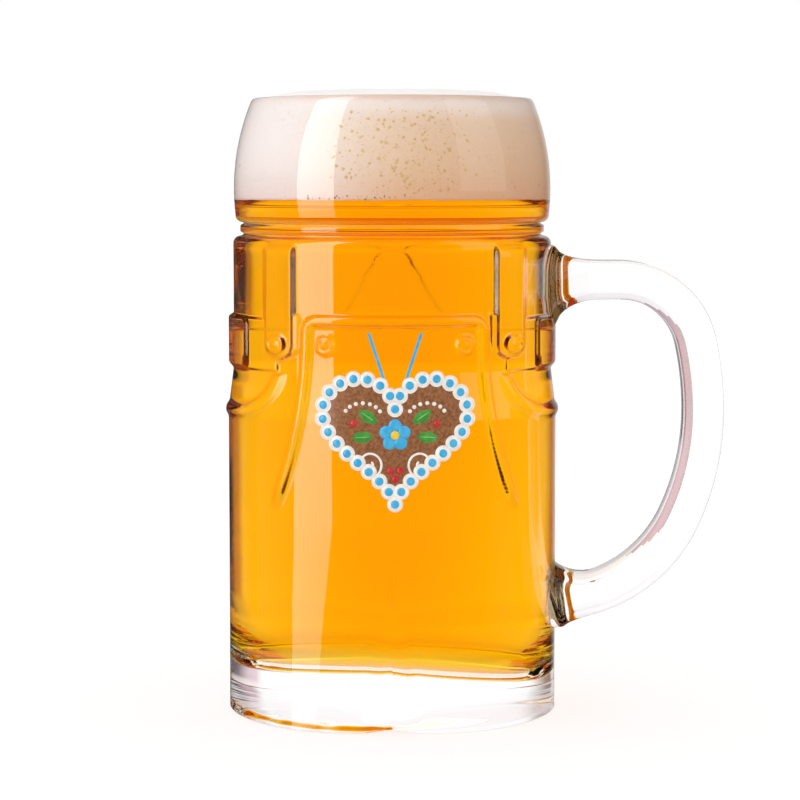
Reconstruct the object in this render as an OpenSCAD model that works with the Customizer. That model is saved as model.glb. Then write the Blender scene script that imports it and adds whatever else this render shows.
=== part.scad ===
// Half-litre glass beer mug pressed in the shape of short trousers with braces, full of beer.
// The front, with the flap and the print, faces -Y. The handle is on +X and the rim is up, +Z.
// The origin is the middle of the base, on the plane that the mug stands on. Millimetres.

/* [Body] */
// Height of the rim above the table
mug_h = 156; // [146:1:172]
// Outer radius below the pockets
lower_r = 42; // [36:0.25:50]
// How far the body is set in above the pockets
upper_inset = 1.4; // [0.4:0.1:2.4]
// Thickness of the glass wall above the waistband
wall_t = 3.4; // [2.6:0.1:5]
// Thickness of the glass under the beer
base_t = 15; // [10:0.5:24]
// Rounding of the outer edge of the base
base_round = 1; // [0.5:0.1:4]
// Rounding of the inner corner above the base
floor_round = 8; // [4:0.5:14]
// Width of the ring that the mug stands on
foot_w = 11; // [6:0.1:15]
// Depth of the shallow dish under the base
dish_depth = 1.2; // [0.4:0.1:2.5]

/* [Lip and neck] */
// Height of the lip, from the neck to the rim
lip_h = 31; // [26:0.5:36]
// How far the lip's widest point lies inside the body's side
lip_inset = 0.2; // [0:0.1:1.2]
// Radius of the lip's barrel curve, seen from the side
lip_curve_r = 58; // [50:1:80]
// Distance of the widest point above the neck
lip_belly = 8; // [4:0.5:12]
// Thickness of the glass in the lip
lip_wall = 3.1; // [2.4:0.1:4]
// Height of the rounded rim edge
rim_round = 1.6; // [1:0.1:2.2]
// Height of the ring between the two neck grooves
ring_h = 2.4; // [1.4:0.1:3.6]
// How far that ring lies inside the body's side
ring_inset = 1.8; // [1.2:0.1:2.2]
// Height of each neck groove
groove_h = 0.7; // [0.4:0.1:1.2]
// How far the bottom of the neck grooves lies inside the body's side
groove_inset = 2.6; // [2.4:0.1:3.2]
// Thickness of the glass behind the neck grooves
neck_wall = 2.2; // [1.6:0.1:3]
// Rounding of the shoulder under the neck
shoulder_round = 1.9; // [0.8:0.1:2.4]

/* [Braces and waistband] */
// Length of the braces above the waistband
brace_l = 20; // [14:0.5:24]
// Width of a brace, seen from the front
brace_w = 7.8; // [5:0.2:9]
// Distance of each front brace from the middle
brace_x = 27.6; // [25:0.2:29]
// Length of the round brace tab below the top of the waistband
tab_l = 6; // [4:0.5:8]
// Distance of each back brace from the middle at the waistband
back_brace_x = 9.2; // [7:0.2:16]
// How far the back braces close in towards the neck
back_brace_lean = 2.8; // [0:0.2:4]
// Height of the waistband
waist_h = 12.8; // [10:0.2:16]
// How far a belt block reaches in from the body's side
block_inset = 5.4; // [3:0.1:7]
// Radius of the buttons
button_r = 2.15; // [1.2:0.05:2.6]

/* [Flap and pockets] */
// Width of the flap at its top
flap_w = 44.4; // [42:0.2:46]
// Height of the flap
flap_h = 47; // [40:0.5:54]
// How far the flap stands above the waistband
flap_rise = 1.4; // [0.6:0.1:3]
// Width of the raised border of the flap
welt_w = 2.6; // [1.6:0.1:3.2]
// Radius of the curve by which the flap widens downwards
flap_flare_r = 120; // [90:1:240]
// Rounding of the flap's upper corners
flap_round = 4.2; // [3.4:0.1:6]
// Distance of the flap buttons from the middle
flap_button_x = 15.8; // [11:0.2:16.4]
// Depth of the flap buttons below the flap's top
flap_button_drop = 7.4; // [6:0.1:9]
// Height of the widening from the waistband down to the pockets
pocket_drop = 11.4; // [8:0.2:15]
// Inner radius of the curved pocket edge
pocket_r = 12.4; // [9:0.2:13]
// How far the centre of the pocket's curve lies in from the body's side
pocket_inset = 1; // [0:0.1:3]
// Height of the crease between the trouser legs
crease_h = 40; // [25:1:50]
// Depth of that crease at the base
crease_depth = 3.4; // [1:0.1:4]
// Half the width of that crease at the base
crease_w = 9; // [5:0.5:12]

/* [Relief heights] */
// Height of the braces, the flap border and the pocket edges above the body
relief_h = 1; // [0.4:0.1:1.6]
// Height of the waistband above the body
band_h = 0.6; // [0.3:0.05:0.9]
// Height of the belt blocks above the body
block_h = 1.5; // [1:0.1:2.2]
// Height of the buttons above what they are sewn to
button_h = 0.7; // [0.3:0.1:1.2]

/* [Handle] */
// Thickness of the handle between its inner and outer edge
grip_t = 9.9; // [7:0.1:12]
// Width of the handle across the hand
grip_w = 16; // [12:0.5:22]
// Rounding of the handle's edges
grip_round = 3.6; // [1.5:0.1:4]
// Room between the handle and the body for the fingers
finger_gap = 32.8; // [28:0.1:40]
// Distance between the middles of the upper and the lower arm
handle_h = 81.2; // [72:0.1:86]
// Depth of the upper arm's middle below the shoulder
arm_drop = 11.3; // [10.5:0.1:13]
// Straight length of the upper arm out of the body
upper_arm_l = 17.6; // [13:0.1:21]
// Straight length of the lower arm out of the body
lower_arm_l = 7.3; // [5:0.1:12]
// Slope of the lower arm
lower_tilt = 13.3; // [4:0.1:20]
// Depth of the handle's widest point below the upper arm
widest_drop = 33.9; // [28:0.1:38]
// Angle that the rounded corner above the grip turns through
corner_turn = 77.5; // [65:0.5:82]
// Angle that the long curve below the widest point turns through
grip_turn = 25; // [18:0.5:35]
// Radius of the flare where the handle is fused to the body
foot_round = 4.6; // [2.5:0.1:5]

/* [Contents] */
// Depth of the beer's surface below the rim
fill_drop = 25.4; // [20:0.2:29]
// Height of the foam's dome above the rim
dome_h = 2.6; // [0.5:0.1:5]

/* [Print] */
// Thickness of the fired enamel
film_t = 0.15; // [0.05:0.01:0.3]
// Room between the heart's piped border and the flap's border
heart_gap = 0.3; // [0.2:0.1:5]
// Height of the heart's outline
heart_h = 30.4; // [24:0.2:32]
// Distance of the heart's middle below the flap's top
heart_drop = 30.4; // [28:0.2:34]
// Distance of the heart's middle to the right of the mug's
heart_x = 0.8; // [-0.8:0.1:0.8]
// Number of piped scallops round the heart
scallops = 32; // [24:2:34]
// Radius of a piped scallop
scallop_r = 1.95; // [1.8:0.05:2.1]
// Radius of the dot on a scallop
dot_r = 1.05; // [0.5:0.05:1.2]
// Width of the printed ribbon
ribbon_w = 0.8; // [0.4:0.1:1.4]
// Half the distance between the ribbon's two upper ends
ribbon_spread = 6; // [3:0.1:9]
// Radius of the flower over its petals
flower_r = 3.9; // [3.5:0.1:4.4]
// Radius of a petal
petal_r = 1.6; // [1.4:0.05:1.8]
// Radius of the flower's eye
eye_r = 1.15; // [0.8:0.05:1.4]
// Length of a leaf
leaf_l = 5.2; // [4:0.1:5.6]
// Radius of a berry
berry_r = 0.9; // [0.5:0.05:1]
// Radius of a pearl of icing
pearl_r = 0.5; // [0.3:0.05:0.6]
// Half the width of a bow of pearls
pearl_bow_w = 4.6; // [3.6:0.1:5.2]
// Height of a bow of pearls
pearl_bow_h = 3.3; // [2:0.1:4]

/* [Hidden] */
$fn = 96;

// Heights, from the rim down
neck_z = mug_h - lip_h;
rim_z = mug_h - rim_round;
lip_wide_z = neck_z + lip_belly;
ring_top = neck_z - groove_h;
ring_bottom = ring_top - ring_h;
shoulder_z = ring_bottom - groove_h;
neck_mid = (neck_z + shoulder_z) / 2;
waist_top = shoulder_z - brace_l;
waist_bottom = waist_top - waist_h;
hip_z = waist_bottom - pocket_drop;
flap_top = waist_top + flap_rise;
flap_bottom = flap_top - flap_h;
button_z = waist_top - tab_l;
brace_top = shoulder_z - shoulder_round;
fill_z = mug_h - fill_drop;
heart_z = flap_top - heart_drop;

// Radii
upper_r = lower_r - upper_inset;
bore_r = upper_r - wall_t;
dish_r = lower_r - base_round - foot_w;
lip_r = upper_r - lip_inset;
ring_r = upper_r - ring_inset;
groove_r = upper_r - groove_inset;
neck_r = groove_r - neck_wall;
block_x = upper_r - block_inset;
pocket_x = lower_r - pocket_inset;
lip_centre = lip_r - lip_curve_r;
inner_lip_r = lip_curve_r - lip_wall;
relief_root = (bore_r + upper_r) / 2;

// The glass starts to close in towards the neck this far below the shoulder
closing = 9;
closing_z = shoulder_z - closing;
// Segments of a drawn curve, and of a small rounded edge
steps = 14;
edge_steps = 8;
// The rounded rim starts and ends this far off the level, in degrees, above the wall's last points
rim_start = 15;
// Longer than the mug is wide, for cuts and pushed-out outlines
far = 2 * lower_r;
// How far the front relief wraps past the sides
wrap = 4;
// How deep the handle's feet run into the body before they are cut back to its surface
sink = 6;

function ease(a, b, t) = a + (b - a) * (1 - cos(180 * t)) / 2;
function span(lo, hi, n) = [for (i = [0:n]) lo + (hi - lo) * i / n];
function flip(list) = [for (i = [len(list) - 1:-1:0]) list[i]];
function lip_outer(z) = lip_centre + sqrt(pow(lip_curve_r, 2) - pow(z - lip_wide_z, 2));
function lip_inner(z) = lip_centre + sqrt(pow(inner_lip_r, 2) - pow(z - lip_wide_z, 2));
function inner_r(z) =
    z <= closing_z ? bore_r
    : z <= neck_mid ? ease(bore_r, neck_r, (z - closing_z) / (neck_mid - closing_z))
    : z <= lip_wide_z ? ease(neck_r, lip_inner(lip_wide_z), (z - neck_mid) / (lip_wide_z - neck_mid))
    : lip_inner(z);

// The inner wall as [radius, height] points, in the stretches that the beer and the foam touch
floor_wall = concat(
    [[0, base_t]],
    [for (a = span(-90, 0, steps))
        [bore_r - floor_round + floor_round * cos(a), base_t + floor_round + floor_round * sin(a)]]);
beer_wall = [for (z = span(closing_z, fill_z, steps)) [inner_r(z), z]];
foam_wall = [for (z = span(fill_z, rim_z, steps)) [inner_r(z), z]];

// The outer wall from the middle of the base to the rim
dish_sphere = (pow(dish_r, 2) + pow(dish_depth, 2)) / (2 * dish_depth);
base_wall = concat(
    [for (r = span(0, dish_r, steps))
        [r, dish_depth - dish_sphere + sqrt(pow(dish_sphere, 2) - pow(r, 2))]],
    [for (a = span(-90, 0, steps))
        [lower_r - base_round + base_round * cos(a), base_round + base_round * sin(a)]]);
body_wall = concat(
    [[lower_r, hip_z], [upper_r, waist_bottom]],
    [for (a = span(0, 90, edge_steps))
        [upper_r - shoulder_round + shoulder_round * cos(a),
         shoulder_z - shoulder_round + shoulder_round * sin(a)]]);
neck_wall_points = [[groove_r, shoulder_z], [groove_r, ring_bottom], [ring_r, ring_bottom],
                    [ring_r, ring_top], [groove_r, ring_top], [groove_r, neck_z]];
lip_points = [for (z = span(neck_z, rim_z, steps)) [lip_outer(z), z]];
rim_mid = (lip_outer(rim_z) + lip_inner(rim_z)) / 2;
rim_half = (lip_outer(rim_z) - lip_inner(rim_z)) / 2;
rim_points = [for (a = span(rim_start, 180 - rim_start, edge_steps))
    [rim_mid + rim_half * cos(a), rim_z + rim_round * sin(a)]];

// The body's outer surface raised by h, for relief and print
function raised_body(h) = [[lower_r + h, base_round], [lower_r + h, hip_z],
                           [upper_r + h, waist_bottom], [upper_r + h, brace_top]];

module pair() {
    children();
    mirror([1, 0, 0]) children();
}

// Pushes an outline drawn in X and Z out to the front
module to_front() translate([0, wrap, 0]) rotate([90, 0, 0]) linear_extrude(far) children();

// What an outline leaves of the body's surface, raised by h
module relief(h) intersection() {
    rotate_extrude() polygon(concat([[relief_root, base_round]], raised_body(h),
                                    [[relief_root, brace_top]]));
    to_front() children();
}

module back_relief(h) mirror([0, 1, 0]) relief(h) children();

// A brace runs from the shoulder down to its round, buttoned tab
module brace_outline() {
    translate([brace_x - brace_w / 2, button_z]) square([brace_w, brace_top - button_z]);
    translate([brace_x, button_z]) circle(brace_w / 2);
}

module back_brace_outline() polygon([
    [back_brace_x - brace_w / 2, waist_top - waist_h / 2],
    [back_brace_x + brace_w / 2, waist_top - waist_h / 2],
    [back_brace_x + brace_w / 2 - back_brace_lean, brace_top],
    [back_brace_x - brace_w / 2 - back_brace_lean, brace_top]]);

// The flap's outline inset by d from the top and the sides
module flap_outline(d) {
    half = flap_w / 2 - d;
    top = flap_top - d;
    corner = flap_round - d;
    difference() {
        translate([-half - flap_h, flap_bottom]) square([2 * (half + flap_h), top - flap_bottom]);
        pair() difference() {
            union() {
                translate([half + flap_flare_r, top - flap_round]) circle(flap_flare_r, $fn = 180);
                translate([half - corner, top - corner]) square([far, far]);
            }
            translate([half - corner, top - corner]) circle(corner);
        }
    }
}

module flap_border() difference() {
    flap_outline(0);
    flap_outline(welt_w);
}

module pocket_edge() intersection() {
    translate([pocket_x, waist_bottom + welt_w]) difference() {
        circle(pocket_r + welt_w);
        circle(pocket_r);
    }
    translate([brace_x - brace_w / 2, hip_z - far]) square([far, waist_bottom - hip_z + far]);
}

module waist_ring(h) rotate_extrude() translate([relief_root, waist_bottom])
    square([upper_r + h - relief_root, waist_h]);

module waistband() difference() {
    waist_ring(band_h);
    translate([-brace_x, -far, waist_bottom - far / 2]) cube([2 * brace_x, far, far]);
}

module belt_blocks() intersection() {
    waist_ring(block_h);
    pair() translate([block_x, -far / 2, 0]) cube([far, far, mug_h]);
}

// The crease between the trouser legs, deepest at the base. Its sides run on out of the glass
crease_run = 4;
module leg_crease() translate([0, crease_depth - lower_r, 0])
    rotate([atan(crease_depth / crease_h), 0, 0]) translate([0, 0, -crease_h]) linear_extrude(far)
    polygon([[0, 0], [crease_w, -crease_depth] * crease_run, [-crease_w, -crease_depth] * crease_run]);

module body_solid() {
    rotate_extrude() polygon(concat(base_wall, body_wall, neck_wall_points, lip_points, rim_points,
                                    flip(foam_wall), flip(beer_wall), flip(floor_wall)));
    relief(relief_h) {
        pair() brace_outline();
        flap_border();
        pair() pocket_edge();
    }
    relief(relief_h + button_h) pair() translate([brace_x, button_z]) circle(button_r);
    relief(button_h) pair() translate([flap_button_x, flap_top - flap_button_drop]) circle(button_r);
    back_relief(relief_h) pair() back_brace_outline();
    waistband();
    belt_blocks();
}

module glass_body() color("#F4F6F8", 0.35) difference() {
    body_solid();
    leg_crease();
    mirror([0, 1, 0]) leg_crease();
}

// Two numbers that a pair of equations gives, from the rows of its factors and its right-hand sides
function solved(m, v) = let (d = m[0][0] * m[1][1] - m[0][1] * m[1][0])
    [v[0] * m[1][1] - m[0][1] * v[1], m[0][0] * v[1] - m[1][0] * v[0]] / d;

// Radii of the two arcs that turn the upper arm downwards
upper_arm_x = upper_r + upper_arm_l;
lower_arm_x = lower_r + lower_arm_l;
widest_x = lower_r + finger_gap + grip_t / 2;
upper_arm_z = shoulder_z - arm_drop;
upper_turns = [corner_turn, 90 - corner_turn];
upper_bow = solved([[sin(corner_turn), 1 - sin(corner_turn)], [1 - cos(corner_turn), cos(corner_turn)]],
                   [widest_x - upper_arm_x, widest_drop]);

// Radii of the two arcs that bring the grip back to the sloping lower arm
whole_turn = 90 - lower_tilt;
lower_turns = [grip_turn, whole_turn - grip_turn];
lower_bow = solved([[1 - cos(grip_turn), cos(grip_turn) - cos(whole_turn)],
                    [sin(grip_turn), sin(whole_turn) - sin(grip_turn)]],
                   [widest_x - lower_arm_x, handle_h - widest_drop]);

// The middle line of the handle as [x, z, heading, distance from the nearer wall]
function turned(p, heading, r, turn) =
    p + r * [sin(heading) - sin(heading - turn), cos(heading - turn) - cos(heading)];
function along(p, heading, l) = p + l * [cos(heading), sin(heading)];
function bow(p, heading, r, turn) = [for (t = span(0, turn, 10))
    concat(turned(p, heading, r, t), [heading - t, foot_round])];
function arm(p, heading, side) = [for (d = concat([-sink], span(0, foot_round, edge_steps)))
    concat(along(p, heading, side * d), [heading, d])];

top_root = [upper_r, upper_arm_z];
bow_1 = [upper_arm_x, upper_arm_z];
bow_2 = turned(bow_1, 0, upper_bow[0], upper_turns[0]);
bow_3 = turned(bow_2, -corner_turn, upper_bow[1], upper_turns[1]);
bow_4 = turned(bow_3, -90, lower_bow[0], lower_turns[0]);
bow_5 = turned(bow_4, -90 - grip_turn, lower_bow[1], lower_turns[1]);
low_heading = -90 - whole_turn;
low_root = along(bow_5, low_heading, lower_arm_l / cos(lower_tilt));
handle_line = concat(
    arm(top_root, 0, 1),
    bow(bow_1, 0, upper_bow[0], upper_turns[0]),
    bow(bow_2, -corner_turn, upper_bow[1], upper_turns[1]),
    bow(bow_3, -90, lower_bow[0], lower_turns[0]),
    bow(bow_4, -90 - grip_turn, lower_bow[1], lower_turns[1]),
    flip(arm(low_root, low_heading, -1)));

// How far the section has grown at distance d from the wall, where the handle is fused to the body
function flare(d) = d <= 0 ? foot_round
    : foot_round - sqrt(pow(foot_round, 2) - pow(foot_round - min(d, foot_round), 2));
corner_points = 6;
function section(grow) = [for (corner = [0:3], i = [0:corner_points - 1])
    let (a = 90 * (corner + i / (corner_points - 1)),
         round = grip_round + grow,
         side = [corner == 0 || corner == 3 ? 1 : -1, corner < 2 ? 1 : -1])
    [side[0] * (grip_t / 2 - grip_round) + round * cos(a),
     side[1] * (grip_w / 2 - grip_round) + round * sin(a)]];
function ring(at) = [for (q = section(flare(at[3])))
    [at[0] - q[0] * sin(at[2]), q[1], at[1] + q[0] * cos(at[2])]];

module handle_solid() {
    n = 4 * corner_points;
    last = len(handle_line) - 1;
    polyhedron(
        [for (at = handle_line) each ring(at)],
        concat([[for (i = [0:n - 1]) i]],
               [for (k = [0:last - 1], i = [0:n - 1])
                   [k * n + i, (k + 1) * n + i, (k + 1) * n + (i + 1) % n, k * n + (i + 1) % n]],
               [[for (i = [n - 1:-1:0]) last * n + i]]),
        convexity = 4);
}

// The outside of the body where the handle is fused to it
module body_face() {
    rotate_extrude() polygon(concat([[0, base_round], [lower_r, base_round]], body_wall, [[0, shoulder_z]]));
    waist_ring(block_h);
}

module handle() color("#F4F6F8", 0.35) difference() {
    handle_solid();
    body_face();
}

module beer() color("#FFA400", 0.7)
    rotate_extrude() polygon(concat(floor_wall, beer_wall, [[0, fill_z]]));

module foam_head() color("#F3E9DD") {
    rim_inner = lip_inner(rim_z);
    rise = dome_h + rim_round;
    ball = (pow(rim_inner, 2) + pow(rise, 2)) / (2 * rise);
    dome = [for (r = span(rim_inner, 0, steps)) [r, rim_z + rise - ball + sqrt(pow(ball, 2) - pow(r, 2))]];
    rotate_extrude() polygon(concat([[0, fill_z]], foam_wall, dome));
}

// Half the width of the room inside the flap's border at height z
function flap_room(z) = flap_w / 2 - welt_w + flap_flare_r
    - sqrt(pow(flap_flare_r, 2) - pow(flap_top - welt_w - flap_round - z, 2));

// The heart's outline: a point for an angle from 0 at the cleft to 360, widest at 90 and 270
function heart_raw(a) = 13 * cos(a) - 5 * cos(2 * a) - 2 * cos(3 * a) - cos(4 * a);
heart_angles = span(0, 360, 96);
heart_low = heart_raw(180);
heart_high = max([for (a = heart_angles) heart_raw(a)]);
function heart_level(a) = heart_h * ((heart_raw(a) - heart_low) / (heart_high - heart_low) - 0.5);
heart_half = flap_room(heart_z + heart_level(90)) - heart_gap - scallop_r - abs(heart_x);
function heart_point(a) = [heart_half * pow(sin(a), 3), heart_level(a)];
heart_points = [for (a = heart_angles) heart_point(a)];
heart_last = len(heart_points) - 1;

// Distance run along the outline at each of its points, to space the scallops evenly
function run_to(i) = i == 0 ? 0 : run_to(i - 1) + norm(heart_points[i] - heart_points[i - 1]);
heart_table = [for (i = [0:heart_last]) [run_to(i), heart_angles[i]]];
heart_length = run_to(heart_last);

module along_heart() for (i = [0:scallops - 1])
    translate(heart_point(lookup(heart_length * i / scallops, heart_table))) children();
module border_outline() along_heart() circle(scallop_r);
module dots_outline() along_heart() circle(dot_r);

// The flower's place from the heart's middle, and its ring of round petals
flower_at = [0, 1.6];
petals = 5;
module flower_outline() translate(flower_at) for (i = [0:petals - 1])
    rotate(90 + 360 / petals * i) translate([flower_r - petal_r, 0]) circle(petal_r);
module flower_eye_outline() translate(flower_at) circle(eye_r);

// Leaves stand in pairs on both sides of the flower, each a lens of two arcs
leaf_bulge = leaf_l / 3;
leaf_gap = 1.4;
leaf_angles = [34, -4];
module leaf_outline() intersection_for (side = [-1, 1])
    translate([leaf_l / 2, side * leaf_bulge]) circle(norm([leaf_l / 2, leaf_bulge]));
module leaves_outline() translate(flower_at) pair() for (a = leaf_angles)
    rotate(a) translate([flower_r + leaf_gap, 0]) leaf_outline();

// Berries hang in a bunch of three under the flower, and one sits between each pair of leaves
berry_drop = 8.7;
berry_step = 1.3 * berry_r;
berry_bunch = [[-1, 0], [1, 0], [0, -1.7]];
module berries_outline() translate(flower_at) {
    translate([0, -berry_drop]) for (p = berry_bunch) translate(p * berry_step) circle(berry_r);
    pair() rotate((leaf_angles[0] + leaf_angles[1]) / 2)
        translate([flower_r + leaf_gap + leaf_l, 0]) circle(berry_r);
}

// Two bows of icing pearls over the flower, one in each lobe of the heart
pearls = 7;
pearl_bow_at = [7.8, 6];
pearl_bow_start = 25;
module pearls_outline() pair() translate(pearl_bow_at)
    for (a = span(pearl_bow_start, 180 - pearl_bow_start, pearls - 1))
        translate([pearl_bow_w * cos(a), pearl_bow_h * sin(a)]) circle(pearl_r);

// The ribbon that the heart hangs from: two bands that part upwards, out from under the border
ribbon_top = flap_top - welt_w - 2 * ribbon_w - heart_z;
ribbon_foot = heart_h / 2 - scallop_r;
cleft_z = heart_level(0);
function ribbon_x(z) = ribbon_spread * (z - cleft_z) / (ribbon_top - cleft_z);
module ribbon_outline() pair() polygon([
    [ribbon_x(ribbon_foot), ribbon_foot], [ribbon_x(ribbon_foot) + ribbon_w, ribbon_foot],
    [ribbon_spread + ribbon_w, ribbon_top], [ribbon_spread, ribbon_top]]);

// A printed layer: an outline as a film on the front of the body
module film() intersection() {
    rotate_extrude() polygon(concat(raised_body(0), flip(raised_body(film_t))));
    to_front() translate([heart_x, heart_z]) children();
}

// The heart's brown ground, left bare under what is printed on it
module print_gingerbread() color("#9A6440") film() difference() {
    polygon(heart_points);
    border_outline();
    flower_outline();
    flower_eye_outline();
    leaves_outline();
    berries_outline();
    pearls_outline();
}

module print_white_icing() color("#FFF8F0") film() {
    difference() {
        border_outline();
        dots_outline();
    }
    difference() {
        pearls_outline();
        leaves_outline();
        flower_outline();
    }
}

module print_blue_icing() color("#3FB2E4") film() {
    dots_outline();
    difference() {
        flower_outline();
        flower_eye_outline();
    }
    difference() {
        ribbon_outline();
        border_outline();
    }
}

module print_leaves() color("#3E9B3A") film() difference() {
    leaves_outline();
    flower_outline();
    border_outline();
}

module print_berries() color("#D2232A") film() difference() {
    berries_outline();
    leaves_outline();
    flower_outline();
    border_outline();
}

module print_flower_eye() color("#F4C52B") film() flower_eye_outline();

glass_body();
handle();
beer();
foam_head();
print_gingerbread();
print_white_icing();
print_blue_icing();
print_leaves();
print_berries();
print_flower_eye();
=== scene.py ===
"""A half-litre glass beer mug, full of beer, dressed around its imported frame.

The front, with the flap and the print, faces -Y, and the handle is on +X. Sizes are in millimetres, and a
mesh is turned to metres when it is made.
"""

import math

import bmesh
import bpy
import numpy as np
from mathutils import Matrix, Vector


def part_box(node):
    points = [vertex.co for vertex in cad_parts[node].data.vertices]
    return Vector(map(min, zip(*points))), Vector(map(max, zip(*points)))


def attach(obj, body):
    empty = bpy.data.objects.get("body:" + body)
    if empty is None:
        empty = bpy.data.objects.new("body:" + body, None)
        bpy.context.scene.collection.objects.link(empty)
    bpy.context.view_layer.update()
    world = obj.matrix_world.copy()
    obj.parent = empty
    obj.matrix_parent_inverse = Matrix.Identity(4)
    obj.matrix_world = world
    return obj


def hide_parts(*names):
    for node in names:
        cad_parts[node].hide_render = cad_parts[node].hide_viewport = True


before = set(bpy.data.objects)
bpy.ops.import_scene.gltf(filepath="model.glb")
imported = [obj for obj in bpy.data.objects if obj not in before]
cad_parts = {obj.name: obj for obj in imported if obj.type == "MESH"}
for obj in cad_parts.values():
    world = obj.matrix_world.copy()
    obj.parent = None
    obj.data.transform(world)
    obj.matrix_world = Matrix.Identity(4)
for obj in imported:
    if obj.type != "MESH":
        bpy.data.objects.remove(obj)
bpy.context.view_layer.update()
MM = 0.001


def node_box(name):
    low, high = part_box(name)
    return np.array(low) / MM, np.array(high) / MM


# Sizes that come from the frame
glass_high = node_box("glass_body")[1]
beer_low, beer_high = node_box("beer")
mug_h = glass_high[2]
lower_r = glass_high[1]
bore_r = beer_high[0]
base_t = beer_low[2]
fill_z = beer_high[2]
foam_top = node_box("foam_head")[1][2]

# Body
upper_r = lower_r - 1.4
wall_wave = 0.05
bore_wave = 0.08
floor_z = base_t - 2.0
floor_round = 14.0
floor_top = floor_z + floor_round
floor_sag = 4.4
floor_tilt = 0.054
floor_seam_h = 0.6
floor_leg_x = 27.6

# Foot
base_round = 0.3
foot_w = 2.9
foot_r = lower_r - base_round - foot_w
bevel_w = 4.6
bevel_h = 1.1
bevel_wave = 0.3
bevel_ripple = 0.08
dish_depth = 1.6
dish_flat_r = 16
dish_drop = 1.3

# Lip and neck
lip_h = 31.0
lip_r = upper_r - 0.2
lip_curve_r = 58.0
lip_belly = 8.0
lip_wall = 3.1
lip_edge = 1.3
rim_round = 1.6
rim_square = 0.45
ring_h = 2.4
ring_r = upper_r - 1.8
groove_h = 0.7
groove_r = upper_r - 2.6
neck_wall = 2.2
shoulder_round = 1.9

# Braces, waistband, flap and pockets
front_shift = 0.75
brace_l = 20.0
brace_w = 7.2
brace_x = 27.9
tab_l = 6.0
back_brace_x = 12.8
back_brace_w = 7.8
back_brace_lean = 7.5
waist_h = 12.8
block_x = upper_r - 5.4
block_round = 1.4
block_fade = 3.3
button_r = 2.15
flap_w = 44.4
flap_widen = 0.8
flap_h = 47.0
flap_rise = 1.4
flap_flare_r = 120.0
flap_round = 4.2
flap_button_x = 16.9
flap_button_drop = 7.4
welt_w = 2.6
front_band_gap = 0.2
front_band_cut = 5.5
front_band_slant = 0.6
pocket_drop = 11.4
pocket_r = 12.4
pocket_x = lower_r - 1.0
crease_h = 40.0
crease_depth = 3.4
crease_w = 9.0
crease_power = 2.2
back_crease = 0.15
leg_h = 50.0
leg_depth = 3.0
leg_w = 26.0

# How far the relief stands out
brace_h = 1.7
back_brace_h = 1.3
welt_h = 1.3
band_h = 0.6
back_band_h = 0.4
front_band_h = 0.9
block_h = 1.3
pocket_h = 0.7
button_h = 1.1
button_groove = 0.4
button_groove_in = 0.9
flap_button_h = 1.4 * button_h
flap_button_groove = 0.8
flap_button_groove_r = 1.2
seam_h = 0.3

# How wide the slopes of the relief are
soft_edge = 0.9
brace_inner_edge = 0.8
brace_outer_edge = 3.2
back_brace_edge = 1.6
back_brace_run = 26.0
back_brace_out = 4
welt_outer_edge = 1.5
welt_inner_edge = 1.3
flap_fade = 5
back_band_edge = 3.5
front_band_edge = 0.7
block_upper_edge = 1.2
block_lower_edge = 2.2
pocket_edge = 1.8
groove_w = 0.4
seam_w = 0.6

# Handle
grip_t = 9.9
grip_w = 16.0
grip_round = 2.2
finger_gap = 32.8
handle_h = 81.2
arm_drop = 11.3
upper_arm_l = 17.6
lower_arm_l = 7.3
lower_tilt = 13.3
widest_drop = 33.9
corner_turn = 77.5
grip_turn = 25.0
bevel_t = 1.9
bevel_y = 4.0
flare_l = 11.0
flange_t = 1.6
upper_flare_h = 5.2
upper_flare_lean = 0.27
lower_flare_h = 4.4
lower_flare_lean = -0.73
foot_sink = 1.2
edge_low = 38.0
edge_high = 106.0
edge_taper = 9.0

# Heights, from the rim down
neck_z = mug_h - lip_h
rim_z = mug_h - rim_round
lip_wide_z = neck_z + lip_belly
ring_top = neck_z - groove_h
ring_bottom = ring_top - ring_h
shoulder_z = ring_bottom - groove_h
brace_top = shoulder_z - shoulder_round
neck_mid = (neck_z + shoulder_z) / 2
closing_z = shoulder_z - 9.0
waist_top = shoulder_z - brace_l
waist_bottom = waist_top - waist_h
hip_z = waist_bottom - pocket_drop
flap_top = waist_top + flap_rise
flap_bottom = flap_top - flap_h
button_z = waist_top - tab_l
neck_r = groove_r - neck_wall
lip_centre = lip_r - lip_curve_r

# The beer wets the glass, so it reaches this far into it, and the foam goes a little further
wet = 0.15
foam_cling = 0.05

# Limits that tell the parts of the glass apart
under_z = 2
above_dish_z = 4
hair = 0.01
wall_gap = 0.5
wet_gap = 0.4
patch_inset = 0.3


# Small helpers
def linear(hex_colour):
    """The linear colour of an sRGB hex value."""
    parts = [int(hex_colour[i:i + 2], 16) / 255 for i in (1, 3, 5)]
    return [c / 12.92 if c <= 0.04045 else ((c + 0.055) / 1.055) ** 2.4 for c in parts] + [1.0]


def join(tree, source, socket):
    """Sets a socket to a value, or links it from another socket or from the first output that a node uses."""
    if isinstance(source, bpy.types.Node):
        source = next(output for output in source.outputs if output.enabled)
    if isinstance(source, bpy.types.NodeSocket):
        tree.links.new(source, socket)
    else:
        socket.default_value = source


def add(tree, kind, inputs=None, **settings):
    """Adds a node to a tree, with its settings and with what goes into its sockets."""
    made = tree.nodes.new(kind)
    for key, value in settings.items():
        setattr(made, key, value)
    for key, source in (inputs or {}).items():
        join(tree, source, made.inputs[key])
    return made


def smooth(t):
    t = np.clip(t, 0, 1)
    return t * t * (3 - 2 * t)


def ease(a, b, t):
    return a + (b - a) * (1 - np.cos(np.pi * np.clip(t, 0, 1))) / 2


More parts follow.
